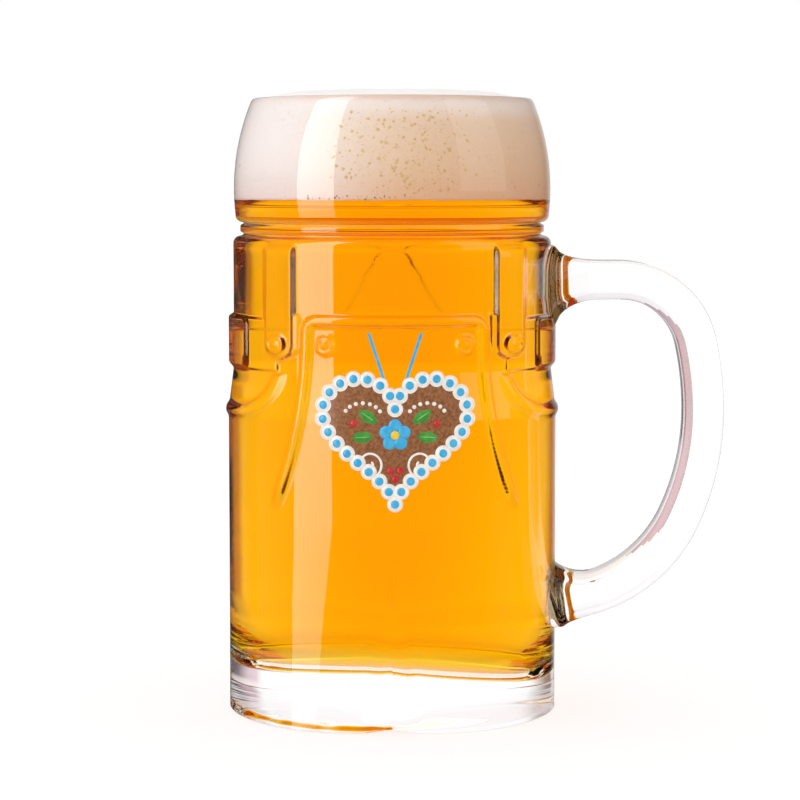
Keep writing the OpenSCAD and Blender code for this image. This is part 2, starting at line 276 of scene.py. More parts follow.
def graded(places, steps):
    """Numbers from the first place to the last, with a step of its own between each two places."""
    parts = [np.linspace(a, b, max(2, round((b - a) / s) + 1))[:-1]
             for a, b, s in zip(places[:-1], places[1:], steps)]
    return np.concatenate(parts + [[places[-1]]])


def arc(centre, radius, start, end, count):
    a = np.radians(np.linspace(start, end, count))
    return np.column_stack([centre[0] + radius * np.cos(a), centre[1] + radius * np.sin(a)])


def linked(name, data):
    """A new object in the scene."""
    made = bpy.data.objects.new(name, data)
    bpy.context.scene.collection.objects.link(made)
    return made


def make_object(name, vertices, faces, material):
    mesh = bpy.data.meshes.new(name)
    mesh.from_pydata((np.asarray(vertices) * MM).tolist(), [], faces)
    mesh.polygons.foreach_set("use_smooth", [True] * len(mesh.polygons))
    mesh.validate()
    mesh.materials.append(material)
    return linked(name, mesh)


def lathe(name, line, angles, push, material):
    """Turns a line of radii and heights, from one point on the axis to another, round the mug's axis.

    push(radius, height, angle) gives the shift of every point outwards and upwards.
    """
    radius, angle = np.meshgrid(line[1:-1, 0], angles, indexing="ij")
    height = np.meshgrid(line[1:-1, 1], angles, indexing="ij")[0]
    out, up = push(radius, height, angle)
    radius = radius + out
    rows, columns = radius.shape
    ring = np.stack([radius * np.sin(angle), -radius * np.cos(angle), height + up], axis=-1)
    ends = [[0, 0, line[0, 1]], [0, 0, line[-1, 1]]]
    vertices = np.concatenate([ring.reshape(-1, 3), ends])
    first, last = rows * columns, rows * columns + 1
    faces = []
    for i in range(rows - 1):
        for j in range(columns):
            k = (j + 1) % columns
            faces.append((i * columns + j, i * columns + k, (i + 1) * columns + k, (i + 1) * columns + j))
    top = (rows - 1) * columns
    for j in range(columns):
        k = (j + 1) % columns
        faces.append((first, k, j))
        faces.append((last, top + j, top + k))
    return make_object(name, vertices, faces, material)


# Profile of the glass
def lip_outer(z):
    return lip_centre + np.sqrt(lip_curve_r ** 2 - (z - lip_wide_z) ** 2)


def lip_inner(z):
    return lip_centre + np.sqrt((lip_curve_r - lip_wall) ** 2 - (z - lip_wide_z) ** 2)


def inner_r(z):
    closing = ease(bore_r, neck_r, (z - closing_z) / (neck_mid - closing_z))
    opening = ease(neck_r, lip_inner(lip_wide_z), (z - neck_mid) / (lip_wide_z - neck_mid))
    return np.where(z < neck_mid, closing, np.where(z < lip_wide_z, opening, lip_inner(z)))


def wall_r(z):
    return lower_r + (upper_r - lower_r) * np.clip((z - hip_z) / (waist_bottom - hip_z), 0, 1)


def floor_line(gap):
    """The drinking space from the middle of its floor up to the straight wall, gap further out."""
    centre = (bore_r - floor_round, floor_top)
    flat = np.column_stack([np.linspace(0, centre[0], 6)[:-1], np.full(5, floor_z - gap)])
    return np.concatenate([flat, arc(centre, floor_round + gap, -90, 0, 14)])


def side_line(low, high, count, gap):
    z = np.linspace(low, high, count)
    return np.column_stack([inner_r(z) + gap, z])


def glass_line():
    """The glass in section, from under its base, out and up, over the rim and down to the drinking floor."""
    r = np.linspace(0, foot_r - bevel_w, 6)[:-1]
    dish = np.column_stack([r, dish_depth - (dish_depth - bevel_h) * (r / (foot_r - bevel_w)) ** 2])
    t = np.linspace(0, 1, 6)
    bevel = np.column_stack([foot_r - bevel_w * (1 - t), bevel_h * (1 - smooth(t))])
    base = arc((lower_r - base_round, base_round), base_round, -90, 0, 5)
    # Rows of the wall, closest together at the edges of the relief
    heights = graded([base_round, 12, 46, flap_bottom - 4, hip_z - 4, waist_bottom - 1.2, waist_bottom + 1,
                      waist_top - 1, flap_top + 1, brace_top],
                     [2, 1.8, 2, 1.0, 0.7, 0.28, 0.48, 0.26, 0.9])[1:]
    wall = np.column_stack([wall_r(heights), heights])
    shoulder = arc((upper_r - shoulder_round, brace_top), shoulder_round, 0, 90, 7)[1:]
    groove = np.array([[groove_r, shoulder_z + groove_h / 2]])
    t = np.linspace(0, 1, 9)
    neck_ring = np.column_stack([groove_r + (ring_r - groove_r) * (1 - np.abs(2 * t - 1) ** 6),
                                 ring_bottom + ring_h * t])
    a = np.radians(np.linspace(0, 90, 6))
    lip_start = lip_outer(neck_z + lip_edge)
    under_lip = np.column_stack([groove_r + (lip_start - groove_r) * np.sin(a),
                                 neck_z - groove_h / 2 + (lip_edge + groove_h / 2) * (1 - np.cos(a))])
    z = np.linspace(neck_z + lip_edge, rim_z, 14)[1:]
    lip = np.column_stack([lip_outer(z), z])
    a = np.radians(np.linspace(0, 180, 11))[1:]
    z = rim_z + rim_round * np.abs(np.sin(a)) ** rim_square
    middle = (lip_outer(z) + lip_inner(z)) / 2
    half = (lip_outer(z) - lip_inner(z)) / 2
    rim = np.column_stack([middle + half * np.sign(np.cos(a)) * np.abs(np.cos(a)) ** rim_square, z])
    inside = side_line(rim_z, closing_z, 15, 0)[1:]
    straight = side_line(closing_z, floor_top + 16, 5, 0)[1:-1]
    low = side_line(floor_top + 16, floor_top, 7, 0)[:-1]
    return np.concatenate([dish, bevel, base, wall, shoulder, groove, neck_ring, under_lip, lip, rim, inside,
                           straight, low, floor_line(0)[::-1]])


# Relief of the trousers on the outer wall. A distance is negative inside its outline
def ramp(distance, height, width):
    return height * smooth(0.5 - distance / width)


def swell(distance, height, width):
    """A quarter round that starts sharply at the outline and levels off inside it."""
    t = np.clip(-distance / width, 0, 1)
    return height * np.sqrt(t * (2 - t))


def bead(distance, place, height, width):
    return height * np.exp(-((distance - place) / width) ** 2)


def corner(dx, dz, radius):
    """Distance to a rounded corner whose two edges lie at dx = 0 and dz = 0."""
    outside = np.hypot(np.maximum(dx + radius, 0), np.maximum(dz + radius, 0))
    return outside + np.minimum(np.maximum(dx, dz) + radius, 0) - radius


def brace_relief(x, z):
    dx = np.abs(x) - brace_x
    from_button = np.hypot(dx, z - button_z)
    distance = np.where(z > button_z, np.abs(dx), from_button) - brace_w / 2
    button = from_button - button_r
    rise = ramp(distance, brace_h, np.where(dx > 0, brace_outer_edge, brace_inner_edge))
    rise = rise + ramp(button, button_h, soft_edge)
    return rise - bead(button, -button_groove_in, button_groove, groove_w)


def flap_relief(x, z):
    top = flap_top - flap_round
    drop = np.clip(top - z, 0, None)
    half = flap_w / 2 + flap_widen + flap_flare_r - np.sqrt(flap_flare_r ** 2 - drop ** 2)
    distance = corner(np.abs(x) - half, z - flap_top, flap_round)
    border = swell(distance, welt_h, welt_outer_edge) - ramp(distance + welt_w, welt_h, welt_inner_edge)
    return np.maximum(border, 0) * smooth((z - flap_bottom + 1) / flap_fade)


def flap_button_relief(x, z):
    r = np.hypot(np.abs(x) - flap_button_x, z - flap_top + flap_button_drop)
    groove = bead(r, flap_button_groove_r, flap_button_groove, groove_w)
    return ramp(r - button_r, flap_button_h, soft_edge) - groove


def pocket_relief(x, z):
    r = np.hypot(np.abs(x) - pocket_x, z - waist_bottom - welt_w)
    edge = np.abs(r - pocket_r - welt_w / 2) - welt_w / 2
    keep = smooth((waist_bottom - z) / 1.5) * smooth((np.abs(x) - brace_x + brace_w / 2) / 2)
    return ramp(edge, pocket_h, pocket_edge) * keep


def waist_relief(x, z, front, behind):
    """The waistband all round, and the block at each side, which dies out behind."""
    level = np.abs(z - (waist_top + waist_bottom) / 2) - waist_h / 2
    front_band = ramp(np.maximum(level, brace_x - np.abs(x)), band_h, soft_edge)
    band = np.where(front, front_band, ramp(level, back_band_h, back_band_edge))
    slope = np.where(z < waist_bottom + 3, block_lower_edge, block_upper_edge)
    block = ramp(corner(block_x - np.abs(x), level, block_round), block_h, slope)
    return np.maximum(band, block * (1 - behind))


def front_band_relief(x, z):
    """The waistband's end between a brace and the flap, cut off at a slant."""
    out = np.abs(x) - flap_w / 2 - flap_widen
    sides = np.maximum(front_band_gap - out, np.abs(x) - brace_x)
    ends = np.maximum(z - flap_top, waist_bottom + front_band_cut - front_band_slant * out - z)
    return ramp(np.maximum(sides, ends), front_band_h, front_band_edge)


def back_brace_relief(x, z):
    """Braces that close in towards the neck, and run out softly into the wall on their outer side."""
    low = waist_top - waist_h / 2
    centre = back_brace_x - back_brace_lean * (z - low) / (brace_top - low)
    inner = ramp(centre - back_brace_w / 2 - np.abs(x), back_brace_h, back_brace_edge)
    outer = ramp(np.abs(x) - centre - back_brace_w / 2 - back_brace_out, 1.0, back_brace_run)
    return inner * outer * smooth((z - low) / 2)


def crease(x, z, front):
    """The seam between the legs, a soft valley that is deepest at the base and faint at the back."""
    share = np.clip(1 - z / crease_h, 0, 1)
    width = crease_w * share + seam_w
    valley = crease_depth * share ** crease_power * (1 - smooth(np.abs(x) / width))
    seam = np.where(front, bead(x, 0, seam_h, seam_w), 0) * smooth(share * 6)
    legs = np.where(front, leg_depth, 0) * np.clip(1 - z / leg_h, 0, 1) * (1 - smooth(np.abs(x) / leg_w))
    return np.where(front, 1.0, back_crease) * valley + seam + legs


def outer_relief(radius, z, angle):
    x = radius * np.sin(angle)
    front = np.cos(angle) > 0
    drawn = x - front_shift
    forms = [form(drawn, z) for form in (brace_relief, flap_relief, flap_button_relief, front_band_relief)]
    front_relief = np.maximum.reduce([*forms, pocket_relief(x, z)])
    rise = np.where(front, front_relief, back_brace_relief(x, z))
    rise = np.maximum(rise, waist_relief(x, z, front, smooth(-block_fade * np.cos(angle))))
    rise = rise * (1 - smooth((z - brace_top + 1.5) / 2.5))
    return rise - crease(x, z, front)


def hand_waves(angle, z, size):
    """Slow waves that pressing and fire polishing leave in the glass."""
    slow = np.sin(3 * angle + 0.045 * z + 0.6) + np.sin(5 * angle - 0.08 * z + 2.1)
    quick = np.sin(9 * angle + 0.17 * z) * np.sin(0.11 * z + 1.3)
    return size * (0.4 * slow + 0.3 * quick)


def inner_waves(z, angle):
    """Waves of the drinking space, which the beer follows. They die out at the floor and at the neck."""
    keep = smooth((z - floor_top) / 12) * smooth((closing_z - z) / 15)
    return hand_waves(angle + 1.0, z, bore_wave) * keep


def floor_shift(radius, z, angle):
    """The floor of the drinking space sinks into both legs, a little more on the right, with a ridge between
    them."""
    x = radius * np.sin(angle)
    keep = 1 - smooth((z - floor_top) / 14)
    seam = floor_seam_h * np.exp(-(x / 5) ** 2) * smooth(radius / 20) * np.maximum(np.cos(angle), 0)
    legs = floor_sag * np.minimum((x / floor_leg_x) ** 2, 1.2)
    return (seam - legs - floor_tilt * np.clip(x, -30, 30)) * keep


def foot_waves(radius, angle):
    """Wavy bevel inside the standing ring, which runs out on the right of the front."""
    keep = smooth((radius - foot_r + bevel_w + 2) / 2.5) * smooth((foot_r - radius) / 2)
    wave = bevel_wave * np.sin(9 * angle) * np.sin(5 * angle + 0.7) + bevel_ripple * np.sin(31 * angle + 1)
    flat = smooth((angle + 0.25) / 0.4) * smooth((1.8 - angle) / 0.2)
    level = smooth((radius - dish_flat_r) / (foot_r - bevel_w - dish_flat_r))
    return keep * wave * (1 - flat) - dish_drop * flat * level


def glass_push(radius, z, angle):
    front = np.cos(angle) > 0
    under = (z < under_z) & (radius < lower_r - hair)
    inside = (radius <= bore_r + hair) & (z > above_dish_z) & (z < closing_z)
    wall = (radius > bore_r + wall_gap) & ~under & (z < brace_top + 2)
    out = np.where(wall, outer_relief(radius, z, angle) + hand_waves(angle, z, wall_wave), 0)
    out = np.where(under, -crease(radius * np.sin(angle), z, front) * smooth((radius - 28) / 9), out)
    out = np.where(inside & (z > floor_top), inner_waves(z, angle), out)
    up = np.where(inside, floor_shift(radius, z, angle), 0)
    return out, np.where(under, np.maximum(foot_waves(radius, angle), -z), up)


def column_angles():
    """Directions of the columns, close together at the relief's edges and the handle's feet."""
    sides = []
    for fine_end, fine_step in ((108, 1.0), (90, 0.9)):
        places = [0, 1.6, 18.5, 26.5, 34, 40, 48, 53.5, 70, fine_end, 168, 180]
        steps = [0.4, 1.0, 0.5, 0.55, 0.3, 0.5, 0.4, 0.6, fine_step, 2.2, 0.5]
        sides.append(np.radians(graded(places, steps)))
    right, left = sides
    return np.concatenate([-left[::-1], right[1:-1]])


# Materials
def new_material(name, constants):
    """A material with these colours and numbers on its shader."""
    made = bpy.data.materials.new(name)
    made.use_nodes = True
    tree = made.node_tree
    shader = tree.nodes["Principled BSDF"]
    for key, value in constants.items():
        join(tree, value, shader.inputs[key])
    return made, tree, shader


def clear_material(name, colour, ior, gloss, roughness=0.0):
    """A clear material that bends light. Its gloss is held back where another clear thing touches it."""
    return new_material(name, {"Base Color": linear(colour), "Roughness": roughness, "IOR": ior,
                               "Transmission Weight": 1.0, "Specular Tint": (gloss, gloss, gloss, 1)})[0]


def lager_beer():
    """Clear filtered lager: gold where it is thin, orange where it is deep, because it takes out blue and
    green."""
    made = clear_material("clear_lager_beer", "#FFFFFF", 1.34, 0)
    tree = made.node_tree
    gold = add(tree, "ShaderNodeVolumeAbsorption", {"Color": (1.0, 0.932, 0.0, 1.0), "Density": 220.0})
    join(tree, gold, tree.nodes["Material Output"].inputs["Volume"])
    return made


def beer_foam():
    """Fine beer foam: matt, with pores under a millimetre across. Its colour holds painted light: it is white
    on the left, where the light falls, and at the dry top, where the light from above falls, and a darker
    cream towards the right, which is painted shade, and towards the bottom, which is partly painted shade and
    partly beer that still wets it."""
    made, tree, shader = new_material("fine_beer_foam", {"Roughness": 0.7})
    place = add(tree, "ShaderNodeTexCoord").outputs["Object"]
    at = add(tree, "ShaderNodeSeparateXYZ", {0: place}).outputs
    across = add(tree, "ShaderNodeMapRange", {"Value": at["X"], "From Min": -27 * MM, "From Max": 8 * MM},
                 interpolation_type="SMOOTHSTEP")
    lower = add(tree, "ShaderNodeMapRange", {"Value": at["Z"], "From Min": rim_z * MM,
                                             "From Max": fill_z * MM, "To Min": 0.6, "To Max": 1.0})
    top = add(tree, "ShaderNodeMapRange", {"Value": at["Z"], "From Min": rim_z * MM,
                                           "From Max": (rim_z - 5) * MM})
    clouds = add(tree, "ShaderNodeTexNoise", {"Vector": place, "Scale": 1 / (9 * MM), "Detail": 3.0})
    clouds = add(tree, "ShaderNodeMapRange", {"Value": clouds, "To Min": 0.85, "To Max": 1.15})
    # Painted light: paler on the left and at the top, darker cream towards the right and the bottom, which is
    # painted shade
    painted_light_and_wetness = across
    for share in lower, top, clouds:
        painted_light_and_wetness = add(tree, "ShaderNodeMath", {0: painted_light_and_wetness, 1: share}, operation="MULTIPLY")
    sizes = []
    for spacing, hole, film in ((0.9, 0.12, 0.24), (2.6, 0.08, 0.16)):
        cells = add(tree, "ShaderNodeTexVoronoi", {"Vector": place, "Scale": 1 / (spacing * MM)})
        sizes.append(add(tree, "ShaderNodeMapRange", {"Value": cells, "From Min": hole, "From Max": film}))
    pores = add(tree, "ShaderNodeMath", {0: sizes[0], 1: sizes[1]}, operation="MULTIPLY")
    # Painted shade: the pore hollows take a darker tone than the film between them
    tones = (("#F7F0EB", "#EBD2B2"), ("#FCF8F6", "#F6DAB8"))
    shaded_hollow, film = (add(tree, "ShaderNodeMix", {"Factor": painted_light_and_wetness, "A": linear(lit_dry), "B": linear(shaded_moist)},
                        data_type="RGBA") for lit_dry, shaded_moist in tones)
    colour = add(tree, "ShaderNodeMix", {"Factor": pores, "A": shaded_hollow, "B": film}, data_type="RGBA")
    join(tree, colour, shader.inputs["Base Color"])
    bump = add(tree, "ShaderNodeBump", {"Height": pores, "Strength": 0.3, "Distance": 0.2 * MM})
    join(tree, bump, shader.inputs["Normal"])
    return made


def bubble_film(name, pale, dark):
    """A bubble in the foam or at the beer's edge: a thin wet film that shows the beer's colour."""
    made, tree, shader = new_material(name, {"Roughness": 0.4})
    place = add(tree, "ShaderNodeTexCoord").outputs["Object"]
    noise = add(tree, "ShaderNodeTexNoise", {"Vector": place, "Scale": 1 / (3.0 * MM), "Detail": 1.0})
    tone = add(tree, "ShaderNodeMix", {"Factor": noise, "A": linear(pale), "B": linear(dark)},
               data_type="RGBA")
    join(tree, tone, shader.inputs["Base Color"])
    return made


def fired_enamel(name, colour, shade, grain=1.5):
    """Fired enamel print: glossy, with an uneven ink whose spots are grain millimetres across."""
    made, tree, shader = new_material(name, {"Roughness": 0.25})
    place = add(tree, "ShaderNodeTexCoord").outputs["Object"]
    noise = add(tree, "ShaderNodeTexNoise", {"Vector": place, "Scale": 1 / (grain * MM), "Detail": 4.0})
    spots = add(tree, "ShaderNodeMapRange", {"Value": noise, "From Min": 0.35, "From Max": 0.65})
    ink = add(tree, "ShaderNodeMix", {"Factor": spots, "A": linear(colour), "B": linear(shade)},
              data_type="RGBA")
    join(tree, ink, shader.inputs["Base Color"])
    return made


# Clear pressed soda-lime glass, fire polished: no grain, and a gloss that fades where beer wets it. The
# slanting inner edge of the handle is tinted a satin mauve grey, which is painted shade for its shaded inner
# face
glass_ior = 1.52
glass = clear_material("pressed_soda_lime_glass", "#FFFFFF", glass_ior, 1.0)
wet_glass = clear_material("pressed_soda_lime_glass_wet", "#FFFFFF", glass_ior, 0.02)
shaded_edge_glass = clear_material("pressed_soda_lime_glass_shaded_edge", "#A8858E", glass_ior, 1.0, 0.15)
# The hidden joint of body and handle: glass runs on through it, so it neither bends nor mirrors light, and
# it is tinted smoky brown, which is painted shade for the dark refractions at the handle's feet
shaded_joint_glass = clear_material("fused_glass_joint_shaded", "#B29C7A", 1.0, 0)
beer = lager_beer()
foam = beer_foam()
foam_bubble = bubble_film("foam_bubble_film", "#F4DFB4", "#DFC48C")
edge_bubble = bubble_film("beer_edge_bubble_film", "#C9985A", "#8A5A24")

# Glass body
body_piece = lathe("mug_body", glass_line(), column_angles(), glass_push, glass)
body_piece.data.materials.append(wet_glass)
body_piece.data.materials.append(shaded_joint_glass)
centres = np.empty(len(body_piece.data.polygons) * 3)
body_piece.data.polygons.foreach_get("center", centres)
centres = centres.reshape(-1, 3) / MM
face_r = np.hypot(centres[:, 0], centres[:, 1])
wetted = (face_r < bore_r + wet_gap) & (centres[:, 2] > above_dish_z) & (centres[:, 2] < fill_z)


def foot_patch(middle_z, flare, lean):
    """The faces of the outer wall that a foot of the handle covers."""
    half = grip_t / 2 + flare
    level = centres[:, 2] - middle_z + flare * lean
    distance = corner(np.abs(centres[:, 1]) - grip_w / 2 - flare, np.abs(level) - half, grip_round + flare)
    return (distance < -patch_inset) & (centres[:, 0] > 0) & (face_r > bore_r + wall_gap)


upper_foot_z = shoulder_z - arm_drop
lower_foot_z = upper_foot_z - handle_h - lower_arm_l * math.tan(math.radians(lower_tilt))
# Faces under the handle's feet take the joint glass, whose smoky brown is painted shade
fused = (foot_patch(upper_foot_z, upper_flare_h, upper_flare_lean)
         | foot_patch(lower_foot_z, lower_flare_h, lower_flare_lean))
body_piece.data.polygons.foreach_set("material_index", (wetted + 2 * fused).astype(np.int32))

# Beer
beer_line = np.concatenate([floor_line(wet)[:-1], side_line(floor_top, fill_z, 44, wet),
                            [[neck_r / 2, fill_z], [0, fill_z]]])


def beer_push(radius, z, angle):
    return inner_waves(z, angle) * (radius > bore_r - 1), floor_shift(radius, z, angle)


even = np.radians(np.linspace(-180, 180, 181)[:-1])
beer_piece = lathe("beer_fill", beer_line, even, beer_push, beer)

# Foam
foam_low = fill_z - 0.12
brim_z = rim_z + 0.9
foam_edge = lip_inner(brim_z) + wet + foam_cling
dome_z = foam_top - 0.9
dome_flat = 9
hem_drip = 0.06
lump_h = 0.2
dome_r = foam_edge * np.cos(np.linspace(0, math.pi / 2, 24))
dome = np.column_stack([dome_r, brim_z + (dome_z - brim_z) * (1 - (dome_r / foam_edge) ** dome_flat)])
foam_line = np.concatenate([[[0, foam_low], [neck_r / 2, foam_low]],
                            side_line(foam_low, brim_z - 0.3, 40, wet + foam_cling), dome])


def foam_push(radius, z, angle):
    """An uneven lower edge, and low lumps on top."""
    hem = (z < foam_low + hair) & (radius > neck_r)
    drip = np.sin(11 * angle) * np.sin(4 * angle + 1) + 0.6 * np.sin(29 * angle + 2)
    on_top = smooth((z - brim_z) / 0.8)
    lumps = np.sin(0.33 * radius * np.sin(angle) + 1) * np.sin(0.29 * radius * np.cos(angle))
    lumps = lumps + 0.5 * np.sin(0.8 * radius * np.sin(angle + 0.4)) * np.sin(0.7 * radius * np.cos(angle))
    return 0, np.where(hem, hem_drip * drip, lump_h * lumps * on_top)


foam_piece = lathe("foam_crown", foam_line, even, foam_push, foam)


# Node trees that make pieces
def new_tree(name, numbers, **others):
    """A tree that takes a shape, the named numbers, the others by kind and a material, and gives a shape."""
    tree = bpy.data.node_groups.new(name, "GeometryNodeTree")
    kinds = {"Geometry": "Geometry", **dict.fromkeys(numbers, "Float"), **others, "Material": "Material"}
    for label, kind in kinds.items():
        tree.interface.new_socket(label, in_out="INPUT", socket_type="NodeSocket" + kind)
    tree.interface.new_socket("Geometry", in_out="OUTPUT", socket_type="NodeSocketGeometry")
    return tree, add(tree, "NodeGroupInput").outputs


def end_tree(tree, shape, material):
    """Ends a tree in one smooth plain shape of the given material."""
    whole = add(tree, "GeometryNodeRealizeInstances", {0: shape})
    soft = add(tree, "GeometryNodeSetShadeSmooth", {0: whole})
    dressed = add(tree, "GeometryNodeSetMaterial", {"Geometry": soft, "Material": material})
    add(tree, "NodeGroupOutput", {0: dressed})
    return tree


def grown(name, data, tree, values):
    """A plain mesh object that a node tree makes from a mesh or a curve."""
    source = linked(name + "_source", data)
    modifier = source.modifiers.new("grow", "NODES")
    modifier.node_group = tree
    for item in tree.interface.items_tree:
        if item.in_out == "INPUT" and item.name in values:
            modifier[item.identifier] = values[item.name]
    graph = bpy.context.evaluated_depsgraph_get()
    mesh = bpy.data.meshes.new_from_object(source.evaluated_get(graph))
    mesh.name = name
    bpy.data.objects.remove(source)
    return linked(name, mesh)


def poly_curve(name, points, closed):
    curve = bpy.data.curves.new(name, "CURVE")
    curve.dimensions = "3D"
    spline = curve.splines.new("POLY")
    spline.points.add(len(points) - 1)
    for point, place in zip(spline.points, points):
        point.co = (*place, 1)
    spline.use_cyclic_u = closed
    return curve


# Handle
def handle_path():
    """The middle line of the handle in X and Z: an arm, four arcs that meet smoothly, and the sloping arm."""
    elbow = math.radians(corner_turn)
    grip = math.radians(grip_turn)
    tilt = math.radians(lower_tilt)
    whole = math.radians(90) - tilt
    widest_x = lower_r + finger_gap + grip_t / 2
    arm_x = upper_r + upper_arm_l
    upper = np.linalg.solve([[math.sin(elbow), 1 - math.sin(elbow)], [1 - math.cos(elbow), math.cos(elbow)]],
                            [widest_x - arm_x, widest_drop])
    lower = np.linalg.solve([[1 - math.cos(grip), math.cos(grip) - math.cos(whole)],
                             [math.sin(grip), math.sin(whole) - math.sin(grip)]],
                            [widest_x - lower_r - lower_arm_l, handle_h - widest_drop])
    bends = [elbow, math.radians(90) - elbow, grip, whole - grip]
    points = [np.array([upper_r, upper_foot_z])]
    heading = 0.0

    def go(length, steps):
        start = points[-1]
        for s in np.linspace(0, length, steps + 1)[1:]:
            points.append(start + s * np.array([math.cos(heading), math.sin(heading)]))

    go(upper_arm_l, 30)
    for radius, bend in zip([*upper, *lower], bends):
        begin = points[-1]
        for t in np.linspace(0, bend, 8 + round(math.degrees(bend) / 5))[1:]:
            points.append(begin + radius * np.array([math.sin(heading) - math.sin(heading - t),
                                                     math.cos(heading - t) - math.cos(heading)]))
        heading -= bend
    go(lower_arm_l / math.cos(tilt), 13)
    return [Vector((p[0], 0, p[1])) * MM for p in points]


def handle_section():
    """Across the handle: rounded outer edges, and inner edges that slant as a mould needs them to."""
    half_w, half_t = grip_w / 2, grip_t / 2
    centre = (half_w - grip_round, half_t - grip_round)
    outer = arc(centre, grip_round, 90, 0, 8)
    low = np.array([half_w, bevel_t - half_t])
    slant = np.array([half_w - bevel_y, -half_t])
    mild = 0.3
    along = [low + t * (slant - low) for t in (0.04, 0.12, 0.3, 0.5, 0.7, 0.88, 0.96)]
    half = np.concatenate([outer, [low + [0, mild], *along, slant - [mild, 0]]])
    whole = np.concatenate([half, half[::-1] * [-1, 1]])
    return [Vector((p[0], -p[1], 0)) * MM for p in whole]


def handle_tree():
    """Sweeps a rounded bar along the path, flares its two feet and sinks them into the round wall."""
    numbers = ("Flare length", "Flange", "Upper flare", "Lower flare", "Upper lean", "Lower lean", "Sink",
               "Upper wall", "Lower wall", "Wall change")
    tree, given = new_tree("handle_sweep", numbers, Section="Object")
    # How near each point of the path is to its end, and how much the bar grows there
    length = add(tree, "GeometryNodeSplineParameter").outputs["Length"]
    total = add(tree, "GeometryNodeSplineLength").outputs["Length"]
    left = add(tree, "ShaderNodeMath", {0: total, 1: length}, operation="SUBTRACT")
    to_end = add(tree, "ShaderNodeMath", {0: length, 1: left}, operation="MINIMUM")
    start = add(tree, "ShaderNodeMath", {0: given["Flare length"], 1: given["Flange"]}, operation="ADD")
    rest = add(tree, "ShaderNodeMapRange", {"Value": to_end, "From Min": start, "From Max": given["Flange"]})
    square = add(tree, "ShaderNodeMath", {0: rest, 1: 2.0}, operation="POWER")
    across = add(tree, "ShaderNodeMath", {0: 1.0, 1: square}, operation="SUBTRACT")
    across = add(tree, "ShaderNodeMath", {0: across}, operation="SQRT")
    share = add(tree, "ShaderNodeMath", {0: 1.0, 1: across}, operation="SUBTRACT")
    at_end = add(tree, "ShaderNodeMath", {0: to_end, 1: 1e-5}, operation="LESS_THAN")
    curve = given["Geometry"]
    for name, value in (("grow", share), ("seat", at_end), ("near", rest)):
        curve = add(tree, "GeometryNodeStoreNamedAttribute",
                    {"Geometry": curve, "Name": name, "Value": value}, domain="POINT")
    bar = add(tree, "GeometryNodeObjectInfo", {"Object": given["Section"]}).outputs["Geometry"]
    swept = add(tree, "GeometryNodeCurveToMesh", {"Curve": curve, "Profile Curve": bar})
    grow, seat, near = (add(tree, "GeometryNodeInputNamedAttribute", {"Name": name},
                            data_type="FLOAT") for name in ("grow", "seat", "near"))
    # The flare, which leans up or down
    place = add(tree, "ShaderNodeSeparateXYZ", {0: add(tree, "GeometryNodeInputPosition")}).outputs
    high = add(tree, "ShaderNodeMath", {0: place["Z"], 1: given["Wall change"]}, operation="GREATER_THAN")
    flare, tip, wall = (add(tree, "ShaderNodeMix", {"Factor": high, "A": given["Lower " + name],
                                                    "B": given["Upper " + name]}, data_type="FLOAT")
                        for name in ("flare", "lean", "wall"))
    normal = add(tree, "GeometryNodeInputNormal")
    upright = add(tree, "ShaderNodeSeparateXYZ", {0: normal}).outputs["Z"]
    lean = add(tree, "ShaderNodeMath", {0: upright, 1: tip}, operation="MULTIPLY")
    lean = add(tree, "ShaderNodeMath", {0: 1.0, 1: lean}, operation="SUBTRACT")
    for factor in lean, flare:
        grow = add(tree, "ShaderNodeMath", {0: grow, 1: factor}, operation="MULTIPLY")
    out = add(tree, "ShaderNodeVectorMath", {0: normal, "Scale": grow}, operation="SCALE")
    flared = add(tree, "GeometryNodeSetPosition", {"Geometry": swept, "Offset": out})
    # The foot follows the round wall
    square = add(tree, "ShaderNodeMath", {0: wall, 1: 2.0}, operation="POWER")
    aside = add(tree, "ShaderNodeMath", {0: place["Y"], 1: 2.0}, operation="POWER")
    round_x = add(tree, "ShaderNodeMath", {0: square, 1: aside}, operation="SUBTRACT")
    round_x = add(tree, "ShaderNodeMath", {0: round_x}, operation="SQRT")
    back = add(tree, "ShaderNodeMath", {0: round_x, 1: wall}, operation="SUBTRACT")
    back = add(tree, "ShaderNodeMath", {0: back, 1: near}, operation="MULTIPLY")
    sink = add(tree, "ShaderNodeMath", {0: seat, 1: given["Sink"]}, operation="MULTIPLY")
    back = add(tree, "ShaderNodeMath", {0: back, 1: sink}, operation="SUBTRACT")
    back = add(tree, "ShaderNodeCombineXYZ", {"X": back})
    sunk = add(tree, "GeometryNodeSetPosition", {"Geometry": flared, "Offset": back})
    return end_tree(tree, sunk, given["Material"])


# Faces on the slant take the mauve grey edge glass, which is painted shade for the handle's shaded inner face
def on_slant(polygon):
    """Whether a face of the handle lies on its slanting inner edge, along the grip."""
    level = polygon.center.z / MM
    end = edge_taper * (1 - (grip_w / 2 - abs(polygon.center.y) / MM) / bevel_y)
    slanting = 0.3 < abs(polygon.normal.y) < 0.6 and polygon.normal.x < 0
    return slanting and edge_low + end < level < edge_high - end


